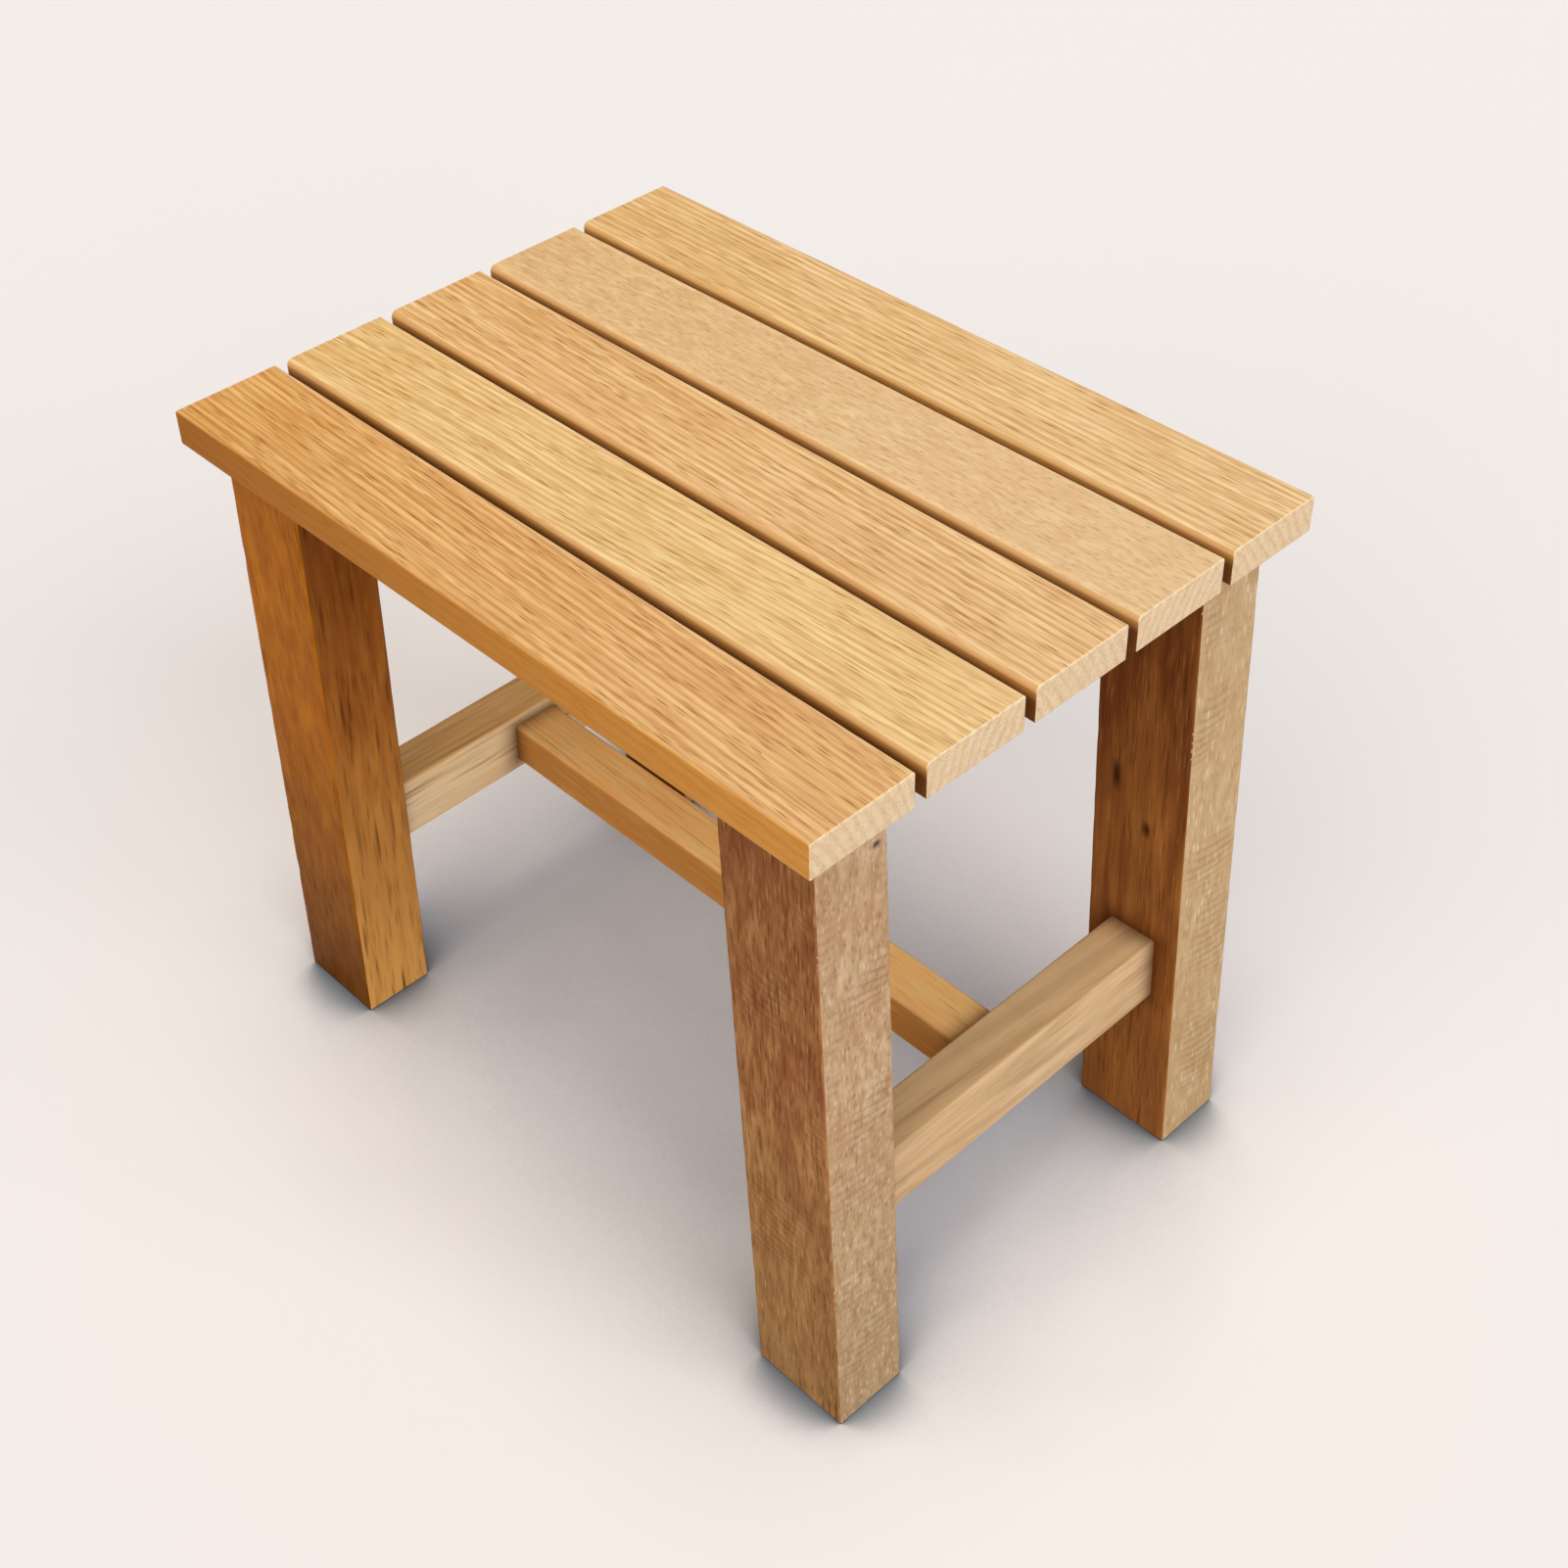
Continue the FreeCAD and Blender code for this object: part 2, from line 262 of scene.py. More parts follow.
def grain_cells(tree, fibre, size_mm, shift):
    """Coordinates in which 1 is a length along the grain and a width across it, moved aside by a shift."""
    long_mm, wide_mm = size_mm
    return add(tree, "Mapping", {
        "Vector": fibre, "Location": (shift, -shift, shift),
        "Scale": (1 / long_mm, 1 / wide_mm, 1 / wide_mm),
    }).outputs[0]


def clouds(tree, fibre, size_mm, shift):
    """A 0 to 1 mask of soft patches, of about a length and a width, over half of the wood."""
    cell = grain_cells(tree, fibre, size_mm, shift)
    cloud = add(tree, "TexNoise", {"Vector": cell, "Scale": 1.0, "Detail": 3.0}).outputs[0]
    return add(tree, "MapRange", {
        "Value": cloud, "From Min": 0.5 - CLOUD_SOFTNESS, "From Max": 0.5 + CLOUD_SOFTNESS,
    }).outputs[0]


def dashes(tree, fibre, size_mm, shift):
    """A 0 to 1 mask of separate dashes of up to a length and a width, some of them faint or missing."""
    cell = grain_cells(tree, fibre, [mm / (2 * DASH_REACH) for mm in size_mm], shift)
    dots = add(tree, "TexVoronoi", {"Vector": cell, "Scale": 1.0}).outputs
    dash = add(tree, "MapRange", {
        "Value": dots["Distance"], "From Min": DASH_REACH, "From Max": DASH_CORE,
    }).outputs[0]
    strength = add(tree, "MapRange", {
        "Value": dots["Color"], "From Min": DASH_MISSING, "From Max": DASH_FULL,
    }).outputs[0]
    return add(tree, "Math", {0: dash, 1: strength}, operation="MULTIPLY").outputs[0]


def growth_rings(tree, look, fibre):
    """A 0 to 1 wave of growth rings round a pith line that runs beside the board."""
    pith = (0, *look["pith_mm"])
    from_pith = add(tree, "VectorMath", {0: fibre, 1: pith}, operation="SUBTRACT").outputs[0]
    return add(tree, "TexWave", {
        "Vector": from_pith, "Scale": RING_WAVE / look["ring_mm"], "Distortion": look["ring_wobble"],
    }, wave_type="RINGS", rings_direction="X").outputs["Fac"]


print("ring wave", round(RING_WAVE, 4))

# %% [markdown]
# A finish is built up in layers, as a painter grains a door: a mottle, blotches of another hue, tints, the
# late wood of the rings, dark lines, light flecks, the pores, and last stains and marks. Tints, stains and
# marks follow the board's surface, such as the painted shade low in a gap, and read a share that the board's
# mesh holds at each vertex. Tints lie under the grain, and stains and marks lie over it: the painted shade in
# the corner of a joint, or a knot. A board without such a share has none of them.

# %% Teak from its grain
GRAIN_STEP = 11.3
LAYER_STEP = {"line": 20, "fleck": 40, "blotch": 60, "pore": 80}
LATE_WOOD_FROM = 0.4
PORE_DULLNESS = 0.25
# Planed teak: golden, with fine darker dashes and a weak sheen
TEAK = {
    "light": "#eebf84", "mid": "#dca768", "blotch": "#dfa064", "dark": "#a86f34", "pore": "#7f4c1f",
    "fleck": "#ffdfa6", "slant_deg": 1.5, "sway_mm": 3, "pith_mm": (-85, -40), "seed": 1,
    "ring_mm": 3.2, "ring_depth": 0.4, "ring_wobble": 0.5,
    "mottle_mm": (60, 2.2), "blotch_mm": (70, 26), "blotch_depth": 0.4,
    "line_mm": (44, 1.5), "line_depth": 0.65, "pore_mm": (13, 1.2), "pore_depth": 0.75,
    "fleck_mm": (26, 1.4), "fleck_depth": 0.75,
    # Marks: painted shade where timbers meet; knots, and a chip whose dark is painted shade
    "tints": {}, "stains": {}, "marks": {"painted_joint_shade": ("#562804", 0.75), "knot_and_chip_shade": ("#241004", 0.85)},
    "roughness": 0.5, "sheen": 0.06, "bump_mm": 0.05,
}


def teak(name, look, grain, centre):
    """A finish whose grain fills the board. Look holds colours and sizes in mm, and grain is its axis."""
    material = bpy.data.materials.new(name)
    material.use_nodes = True
    tree = material.node_tree
    shader = tree.nodes["Principled BSDF"]
    shift = look["seed"] * GRAIN_STEP
    fibre = fibre_lines(tree, look, grain, centre)
    rings = growth_rings(tree, look, fibre)

    def tinted(below, mask, depth, colour):
        """The colour so far, with another one laid over it where a mask says, to a depth."""
        share = add(tree, "Math", {0: mask, 1: depth}, operation="MULTIPLY").outputs[0]
        return add(tree, "Mix", {
            SHARE: share, LOWER: below, UPPER: linear(colour),
        }, data_type="RGBA").outputs[MIXED]

    def stained(below, stains):
        """The colour so far, with stains laid over it where the board's mesh says."""
        for attribute, (stain_colour, depth) in stains.items():
            share = add(tree, "Attribute", attribute_name=attribute).outputs["Fac"]
            below = tinted(below, share, depth, stain_colour)
        return below

    mottle = clouds(tree, fibre, look["mottle_mm"], shift)
    colour = tinted(linear(look["light"]), mottle, 1.0, look["mid"])
    blotches = clouds(tree, fibre, look["blotch_mm"], shift + LAYER_STEP["blotch"])
    colour = tinted(colour, blotches, look["blotch_depth"], look["blotch"])
    colour = stained(colour, look["tints"])
    late_wood = add(tree, "MapRange", {"Value": rings, "From Min": LATE_WOOD_FROM}).outputs[0]
    colour = tinted(colour, late_wood, look["ring_depth"], look["dark"])
    lines = dashes(tree, fibre, look["line_mm"], shift + LAYER_STEP["line"])
    colour = tinted(colour, lines, look["line_depth"], look["dark"])
    flecks = dashes(tree, fibre, look["fleck_mm"], shift + LAYER_STEP["fleck"])
    colour = tinted(colour, flecks, look["fleck_depth"], look["fleck"])
    pores = dashes(tree, fibre, look["pore_mm"], shift + LAYER_STEP["pore"])
    colour = tinted(colour, pores, look["pore_depth"], look["pore"])
    colour = stained(colour, {**look["stains"], **look["marks"]})
    tree.links.new(colour, shader.inputs["Base Color"])

    shader.inputs["Specular IOR Level"].default_value = look["sheen"]
    dull = add(tree, "MapRange", {
        "Value": pores, "To Min": look["roughness"], "To Max": look["roughness"] + PORE_DULLNESS,
    }).outputs[0]
    tree.links.new(dull, shader.inputs["Roughness"])
    height = add(tree, "Math", {0: flecks, 1: pores}, operation="SUBTRACT").outputs[0]
    grooves = add(tree, "Bump", {"Height": height, "Distance": look["bump_mm"] * MM}).outputs[0]
    tree.links.new(grooves, shader.inputs["Normal"])
    return material


print("a teak look has", len(TEAK), "values")

# %% [markdown]
# ## Shaping timber
# Every timber starts as a box, as it does at the sawmill. Its long edges are then eased with a bevel, and its
# faces are cut into small cells, so that the surface can be moved a little: a planed face is never quite
# flat. A modifier could do the bevel too, but on a bare bmesh the order of the cuts stays in one's own hands.
# Each piece also marks what lies near the pieces that join on, for painted shade where timbers meet.

# %% Helpers that shape a timber
AXES = {"X": 0, "Y": 1, "Z": 2}
PARALLEL = 0.999
FACING = 0.99
HOLLOW_STEP = 9.7
# How far the painted shade reaches from a timber that joins on
JOINT_SHADE_REACH = 15 * MM
FLAT_FACE_WEIGHT = 80


def box_mesh(low, high):
    """A new bmesh box between two corners, in metres."""
    bm = bmesh.new()
    bmesh.ops.create_cube(bm, size=1)
    bmesh.ops.scale(bm, vec=high - low, verts=bm.verts)
    bmesh.ops.translate(bm, vec=(low + high) / 2, verts=bm.verts)
    return bm


def edges_along(bm, axis, longer_than=0.0):
    """The edges that run along an axis, and are longer than a length."""
    picked = []
    for edge in bm.edges:
        run = edge.verts[1].co - edge.verts[0].co
        if run.length > longer_than and abs(run[AXES[axis]]) > PARALLEL * run.length:
            picked.append(edge)
    return picked


def ease(bm, edges, radius, segments):
    """Rounds edges over by a radius."""
    bmesh.ops.bevel(bm, geom=edges, offset=radius, offset_type="OFFSET", affect="EDGES",
                    segments=segments, profile=0.5, material=-1, clamp_overlap=True)


def cut_cells(bm, axis, cell):
    """Divides the long edges along an axis into cells of about a length."""
    edges = edges_along(bm, axis, longer_than=2 * cell)
    longest = max(edge.calc_length() for edge in edges)
    bmesh.ops.subdivide_edges(bm, edges=edges, cuts=round(longest / cell) - 1, use_grid_fill=True)


def hollow(bm, depth, size_mm, grain, seed):
    """Sinks the surface by up to a depth, in shallow hollows of a length and a width along the grain."""
    bm.normal_update()
    long_mm, wide_mm = size_mm
    scale = [1 / (wide_mm * MM)] * 3
    scale[AXES[grain]] = 1 / (long_mm * MM)
    for vert in bm.verts:
        spot = Vector([vert.co[i] * scale[i] + seed * HOLLOW_STEP for i in range(3)])
        vert.co -= vert.normal * depth * (0.5 + 0.5 * noise.noise(spot))


def stain(bm, name, share_of):
    """Marks each vertex with a 0 to 1 share, which a finish reads by name."""
    layer = bm.verts.layers.float.new(name)
    for vert in bm.verts:
        vert[layer] = min(1.0, max(0.0, share_of(vert)))


def paint_joint_shade(bm, nodes):
    """Marks how near each vertex lies to a timber that joins on: painted shade in the corner between them."""
    bm.normal_update()
    boxes = [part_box(node) for node in nodes]

    def nearness(vert):
        share = 0
        for low, high in boxes:
            nearest = Vector([min(max(vert.co[i], low[i]), high[i]) for i in range(3)])
            way = nearest - vert.co
            beside = 1 + min(0, way.normalized().dot(vert.normal))
            share = max(share, beside * max(0, 1 - way.length / JOINT_SHADE_REACH) ** 2)
        return share

    stain(bm, "painted_joint_shade", nearness)


def finished(name, bm, node, materials):
    """An object from a bmesh, which stands for a CAD node and rides on the bench."""
    bmesh.ops.recalc_face_normals(bm, faces=bm.faces)
    mesh = bpy.data.meshes.new(name)
    bm.to_mesh(mesh)
    bm.free()
    mesh.shade_smooth()
    for material in materials:
        mesh.materials.append(material)
    piece = bpy.data.objects.new(name, mesh)
    scene.collection.objects.link(piece)
    normals = piece.modifiers.new("flat_faces", "WEIGHTED_NORMAL")
    normals.weight = FLAT_FACE_WEIGHT
    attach(piece, "root")
    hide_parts(node)
    return piece


print("timber helpers ready for axes", list(AXES))

# %% [markdown]
# ## Seat slats
# Five planed boards make the seat. Each comes from another part of the tree, so each has its own colours,
# grain direction and pith. One finish for all would be shorter, but would look like print. What they share
# lies in tints and stains: painted light to the right, painted shade on the outer sides and on the gap walls,
# darker lower in the gaps, and edges worn pale under a painted highlight.

# %% Colours of the five slats
SLAT_LOOKS = {
    1: {"light": "#f5c37b", "mid": "#d1954c", "blotch": "#d8994e", "dark": "#ad6d25", "pore": "#93571a",
        "fleck": "#fbcd8b", "slant_deg": 2.4, "pith_mm": (-90, -45)},
    2: {"light": "#fddb9b", "mid": "#dfb26d", "blotch": "#e2b068", "dark": "#bf8a3b", "pore": "#a26d27",
        "fleck": "#ffe5ae", "slant_deg": -1.6, "pith_mm": (100, -35), "sway_mm": 10},
    3: {"light": "#fad397", "mid": "#daa563", "blotch": "#dda263", "dark": "#b67d38", "pore": "#996123",
        "fleck": "#ffd8a2", "slant_deg": 1.8, "pith_mm": (-110, -60)},
    4: {"light": "#ebc992", "mid": "#d7ac74", "blotch": "#dcae7a", "dark": "#b98a4b", "pore": "#9f7136",
        "fleck": "#f5d6aa", "slant_deg": -1.0, "pith_mm": (120, -70), "pore_mm": (5, 1.1), "pore_depth": 0.5,
        "mottle_mm": (14, 2.4), "line_mm": (12, 1.3), "line_depth": 0.45, "fleck_mm": (7, 1.4),
        "fleck_depth": 0.55, "ring_depth": 0.08},
    5: {"light": "#f7d49a", "mid": "#dcae6e", "blotch": "#e2b16b", "dark": "#bb8743", "pore": "#9f6d2d",
        "fleck": "#ffdca8", "slant_deg": 1.2, "pith_mm": (-80, -50)},
}
# Tint of the slats: paler to the right, which is painted light from the right
SLAT_TINTS = {"painted_light_right": ("#fae6c0", 0.22)}
# Stains of the slats: painted shade that deepens the outer sides to gold, more so to the left, turns the gap
# walls orange and darkens them lower down; edges worn pale with a painted highlight
SLAT_STAINS = {
    "painted_side_shade": ("#df9c3c", 0.75), "painted_left_shade": ("#904c00", 0.7), "wall": ("#d0903e", 0.75),
    "painted_gap_shade": ("#5a2200", 0.8), "worn_and_painted_highlight": ("#fbdca8", 0.3),
}
# Sawn end grain: paler and duller than the faces, with faint slanted rings
SAWN_END = {
    "light": "#efd8b2", "mid": "#e5cba3", "blotch": "#ead2ae", "dark": "#c09a6c", "pore": "#b38b5e",
    "fleck": "#f6e4c6", "ring_mm": 5.0, "ring_depth": 0.24, "ring_wobble": 3.0, "mottle_mm": (9, 4),
    "line_depth": 0.4, "pore_depth": 0.5, "fleck_depth": 0.5, "roughness": 0.7, "sheen": 0.1,
    # The end's top edge near a gap is pale: worn, with a painted highlight
    "tints": {}, "stains": {"worn_and_painted_highlight": ("#fff0d0", 0.3)},
}
print("slats:", sorted(SLAT_LOOKS))

# %% [markdown]
# The front top edge of each slat is well rounded, and only that of the foremost is left crisp. The other long
# edges have just the sharpness taken off. The ends are sawn square, and years of use have worn them over at
# the top, which a bevel would make too even at the corners, so rows of vertices near the end are lowered.

# %% Model the slats
SLAT_FRONT_ROUND = 3.0 * MM
SEAT_FRONT_ROUND = 1.0 * MM
SLAT_EDGE_ROUND = 0.8 * MM
SLAT_END_ROUND = 0.5 * MM
SLAT_CELL = 3.0 * MM
SLAT_HOLLOW = 0.10 * MM
SLAT_HOLLOW_MM = (70, 16)
END_WEAR = 0.8 * MM
END_CUTS = (0.15, 0.45, 0.9)
EDGE_WEAR = 4.0 * MM
GAP_LIT = 3.4 * MM
GAP_FADE = 3.6 * MM
WALL_FACING = 0.6
TOP_FACING = 0.2
END_FACING = 0.5


def wear_ends(bm, low, high):
    """Rounds a slat's end top edges: cuts across it near each end, then lowers what lies there."""
    for end, inward in ((low.x, 1), (high.x, -1)):
        for share in END_CUTS:
            place = Vector((end + inward * share * END_WEAR, 0, 0))
            everything = bm.verts[:] + bm.edges[:] + bm.faces[:]
            bmesh.ops.bisect_plane(bm, geom=everything, plane_co=place, plane_no=Vector((1, 0, 0)))
    middle = (low.z + high.z) / 2
    for vert in bm.verts:
        out = END_WEAR - min(vert.co.x - low.x, high.x - vert.co.x)
        if out > 0 and vert.co.z > middle:
            drop = END_WEAR - math.sqrt(max(0, END_WEAR ** 2 - out ** 2))
            vert.co.z -= drop * (vert.co.z - middle) / (high.z - middle)


def slat_mesh(low, high, front_round, seed):
    """A slat's shape: its edges rounded, its ends worn and its faces a little hollow."""
    bm = box_mesh(low, high)
    middle = (low + high) / 2
    long_edges = edges_along(bm, "X")
    corner_of = {edge: edge.verts[0].co - middle for edge in long_edges}
    front_top = [edge for edge, corner in corner_of.items() if corner.z > 0 and corner.y < 0]
    ease(bm, [edge for edge in long_edges if edge not in front_top], SLAT_EDGE_ROUND, segments=3)
    ease(bm, front_top, front_round, segments=6)
    ends = [face for face in bm.faces if abs(face.normal.x) > FACING]
    ease(bm, list({edge for face in ends for edge in face.edges}), SLAT_END_ROUND, segments=2)
    for axis in "XYZ":
        cut_cells(bm, axis, SLAT_CELL)
    wear_ends(bm, low, high)
    hollow(bm, SLAT_HOLLOW, SLAT_HOLLOW_MM, "X", seed)
    bm.normal_update()
    return bm


def slat_board(number):
    """A finished slat, by its number from the front."""
    low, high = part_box(f"seat_slat_{number}")
    foremost, rearmost = number == 1, number == len(SLAT_LOOKS)
    bm = slat_mesh(low, high, SEAT_FRONT_ROUND if foremost else SLAT_FRONT_ROUND, number)

    def outer(vert):
        """How far a vertex faces away from the seat at its front or rear: 1 on those sides, else 0."""
        away = (foremost and vert.normal.y < 0) or (rearmost and vert.normal.y > 0)
        return away * abs(vert.normal.y)

    def wall(vert):
        """1 on the wall of a gap between two slats, else 0."""
        return abs(vert.normal.y) > WALL_FACING and not outer(vert)

    def gap_depth(vert):
        """How deep a vertex lies in a gap: 0 near the top, 1 where no light comes."""
        return wall(vert) * (high.z - vert.co.z - GAP_LIT) / GAP_FADE

    def along(vert):
        """How far a vertex lies along the slat: 0 at its left end, 1 at its right end."""
        return (vert.co.x - low.x) / (high.x - low.x)

    def edge_wear_and_highlight(vert):
        """How near a vertex lies to an edge of a gap, where wet feet and hands wear the wood pale and a
        painted highlight lies.
        """
        front = math.inf if foremost else vert.co.y - low.y
        rear = math.inf if rearmost else high.y - vert.co.y
        return (1 - min(front, rear) / EDGE_WEAR) if vert.normal.z > TOP_FACING else 0

    # Painted light to the right; painted shade on the outer sides, on the gap walls and darker low in the
    # gaps
    stain(bm, "painted_light_right", along)
    stain(bm, "painted_side_shade", outer)
    stain(bm, "painted_left_shade", lambda vert: outer(vert) * (1 - along(vert)))
    stain(bm, "wall", wall)
    stain(bm, "painted_gap_shade", gap_depth)
    # Pale edges by the gaps: wear, with a painted highlight along them
    stain(bm, "worn_and_painted_highlight", edge_wear_and_highlight)
    for face in bm.faces:
        face.material_index = int(abs(face.normal.x) > END_FACING)
    centre = (low + high) / 2
    look = {**TEAK, **SLAT_LOOKS[number], "tints": SLAT_TINTS, "stains": SLAT_STAINS, "seed": number}
    faces = teak(f"teak_planed_slat_{number}", look, "X", centre)
    sawn = teak(f"teak_sawn_end_{number}", {**look, **SAWN_END}, "X", centre)
    return finished(f"slat_board_{number}", bm, f"seat_slat_{number}", [faces, sawn])


for number in SLAT_LOOKS:
    board = slat_board(number)
    print(board.name, "faces:", len(board.data.polygons))

# %% [markdown]
# ## Legs
# The legs are thick posts of mixed teak, some of it oiled and some bare. Every leg has its own colour, often
# another one on its sides than on its faces, as where a post is cut across the edge of the heartwood. So each
# takes two finishes, and tints and stains change it towards its head and foot; on one face of two legs these
# are painted shade at the head and painted light at the foot.

# %% Colours of the legs
# Oiled teak, planed: deep orange brown with soft lighter patches, darker towards the foot
OILED = {
    **TEAK, "light": "#c47c12", "mid": "#ab6309", "blotch": "#9f5605", "dark": "#743e04", "pore": "#582e03",
    "fleck": "#cc8920", "mottle_mm": (22, 7), "blotch_mm": (60, 20), "line_mm": (26, 1.8), "line_depth": 0.5,
    "pore_mm": (12, 1.5), "pore_depth": 0.45, "fleck_mm": (16, 3.0), "fleck_depth": 0.35, "ring_mm": 9.0,
    "ring_depth": 0.1, "roughness": 0.45, "sheen": 0.05, "stains": {"foot": ("#361700", 0.74)},
}
# The same oiled teak across its heartwood, with strong dark streaks at the foot: painted shade darkens the
# top and painted light turns the foot golden
STREAKED = {
    **OILED, "light": "#bd7c37", "mid": "#a06024", "blotch": "#8f521c", "dark": "#572a0b", "pore": "#4f280c",
    "mottle_mm": (40, 7), "line_mm": (60, 3.0), "line_depth": 0.9, "pore_mm": (30, 1.8), "pore_depth": 0.6,
    "fleck_depth": 0.2, "tints": {"head": ("#623214", 0.6), "foot": ("#e8b060", 0.75)}, "stains": {},
}
# Bare teak, sawn: brown and fibrous with redder patches, and no shine; painted shade darkens its saw ripples
BROWN = {
    **TEAK, "light": "#cb9a66", "mid": "#9a683a", "blotch": "#935636", "dark": "#6b3f1c", "pore": "#60381a",
    "fleck": "#d8b07c", "mottle_mm": (16, 3.2), "blotch_mm": (45, 18), "blotch_depth": 0.6,
    "line_mm": (22, 1.8), "line_depth": 0.75, "pore_mm": (9, 1.5), "pore_depth": 0.6, "fleck_mm": (9, 1.6),
    "fleck_depth": 0.6, "ring_mm": 9.0, "ring_depth": 0.1, "roughness": 0.7, "sheen": 0.08, "bump_mm": 0.2,
    "tints": {"head": ("#7a3d1a", 0.35), "foot": ("#9c8658", 0.5)}, "stains": {"sawn": ("#6e421e", 0.35)},
}
# Rough-sawn teak: pinkish tan, dull and fuzzy with torn fibres across the grain; painted shade darkens its
# saw ripples
FUZZY = {
    **BROWN, "light": "#dcc09c", "mid": "#b6946c", "blotch": "#be9570", "dark": "#8f6a48", "pore": "#7f5b3c",
    "fleck": "#f2dcba", "mottle_mm": (9, 4), "blotch_mm": (30, 24), "blotch_depth": 0.7, "line_mm": (9, 1.8),
    "line_depth": 0.45, "pore_mm": (4, 1.7), "pore_depth": 0.45, "fleck_mm": (5, 1.9), "fleck_depth": 0.5,
    "ring_depth": 0.0, "roughness": 0.85,
    "tints": {"foot": ("#9a8460", 0.55)}, "stains": {"sawn": ("#75543a", 0.4)},
}
# Rough-sawn sapwood: light tan with a few pale flecks; painted shade darkens its saw ripples
TAN = {
    **FUZZY, "light": "#d5b991", "mid": "#be9e72", "blotch": "#c7a67b", "dark": "#a17f54", "pore": "#8f6e47",
    "fleck": "#fae8c1", "mottle_mm": (12, 5), "line_depth": 0.3, "pore_depth": 0.3, "fleck_mm": (9, 2.2),
    "tints": {"foot": ("#a8885e", 0.35)}, "stains": {"sawn": ("#8a6a45", 0.4)},
}
# Sawn heartwood in the shade: dark reddish brown, with painted shade at the head and painted light at the
# foot
DARK = {
    **BROWN, "light": "#bf8140", "mid": "#8b5324", "blotch": "#7e4823", "dark": "#582f13", "pore": "#4e2a11",
    "fleck": "#c99358", "mottle_mm": (70, 6), "line_mm": (60, 2.6), "line_depth": 0.6,
    "pore_mm": (20, 1.6), "pore_depth": 0.4, "fleck_mm": (14, 1.6), "fleck_depth": 0.25,
    "tints": {"head": ("#5e2c12", 0.6), "foot": ("#a8703a", 0.45)}, "stains": {},
}
# Small dark knots, and one shallow chip under the seat whose dark colour is painted shade: the way each
# faces, its place across that side, its height and half sizes
LEG_KNOTS_AND_SHADED_CHIP = {
    "rear_right": (
        {"facing": (0, -1, 0), "across": 0.23, "height_mm": 213, "half_mm": (3.0, 11)},
        {"facing": (0, -1, 0), "across": 0.58, "height_mm": 191, "half_mm": (2.4, 6)},
    ),
    "front_right": (
        {"facing": (1, 0, 0), "across": 0.85, "height_mm": 323, "half_mm": (3.2, 2.4)},
    ),
}
LEG_LOOKS = {
    "front_left": (OILED, STREAKED),
    "front_right": (BROWN, FUZZY),
    "rear_left": (OILED, BROWN),
    "rear_right": (DARK, TAN),
}
print("legs:", list(LEG_LOOKS))

# %% [markdown]
# The legs lean out a little towards their feet, and their ends are sawn level, so a leg is a box that is slid
# sideways from top to foot. Turning the box and sawing it off would give the same shape with more cuts. They
# were left rougher than the slats: the band saw's slanted ripples still show, darkened with painted shade,
# the arrises are knocked about, and two have knots or a chip, the chip's dark mark being painted shade. All
# of it is sunk into the mesh, as bump alone would leave edges straight.

# %% Model the legs
LEG_WIDTH = 52.0 * MM
LEG_ROUND = 1.2 * MM
FOOT_ROUND = 0.8 * MM
LEG_CELL = 2.0 * MM
LEG_CELL_ALONG = 1.0 * MM
LEG_HOLLOW = 0.15 * MM
LEG_HOLLOW_MM = (60, 14)
LEG_SIDE_FACING = 0.72
SAW_DEPTH = {
    "front_left": 0.06 * MM, "front_right": 0.15 * MM,
    "rear_left": 0.10 * MM, "rear_right": 0.12 * MM,
}
SAW_PITCH = 4.6 * MM
SAW_SLANT = -0.17
SAW_WANDER = 1.0
SAW_CLEAR = 4.0 * MM
SAW_PATCH = 34 * MM
SAW_SHARE = 0.2
SAW_PATCHINESS = 2.0
ARRIS_DEPTH = 0.60 * MM
ARRIS_REACH = 3.0 * MM
ARRIS_LUMP = 16 * MM
ARRIS_STEP = 5
KNOT_DEPTH = 0.6 * MM
KNOT_EDGE = 1.6
KNOT_FACING = 0.7
FOOT_STAIN = 200 * MM
HEAD_STAIN = 180 * MM


def saw_marks(bm, low, high, depth, seed):
    """Sinks the band saw's slanted lines into the upright faces, deeper in some patches, and marks them for
    painted shade.
    """
    bm.normal_update()

    def mark(vert):
        axis = 1 if abs(vert.normal.x) > abs(vert.normal.y) else 0
        across = vert.co[axis]
        inside = min(1, min(across - low[axis], high[axis] - across) / SAW_CLEAR)
        patch = noise.noise(Vector((across, seed, vert.co.z)) / SAW_PATCH)
        turns = (vert.co.z - SAW_SLANT * across) / SAW_PITCH + SAW_WANDER * patch
        ripple = max(0, math.sin(2 * math.pi * turns)) ** 2
        return ripple * (SAW_SHARE + SAW_PATCHINESS * patch) * inside

    # The mark darkens the ripples with painted shade
    stain(bm, "sawn", mark)
    sawn = bm.verts.layers.float["sawn"]
    for vert in bm.verts:
        vert.co -= vert.normal * depth * vert[sawn]


def knock_arrises(bm, low, high, seed):
    """Dents the four long edges of a post, towards its middle, by an uneven depth."""
    middle = (low + high) / 2
    for vert in bm.verts:
        from_x = min(vert.co.x - low.x, high.x - vert.co.x)
        from_y = min(vert.co.y - low.y, high.y - vert.co.y)
        near = max(0, 1 - from_x / ARRIS_REACH) * max(0, 1 - from_y / ARRIS_REACH)
        corner = 2 * (vert.co.x > middle.x) + (vert.co.y > middle.y)
        lump = max(0, noise.noise(Vector((seed, ARRIS_STEP * corner, vert.co.z / ARRIS_LUMP))))
        inward = Vector((middle.x - vert.co.x, middle.y - vert.co.y, 0)).normalized()
        vert.co += inward * ARRIS_DEPTH * near * lump


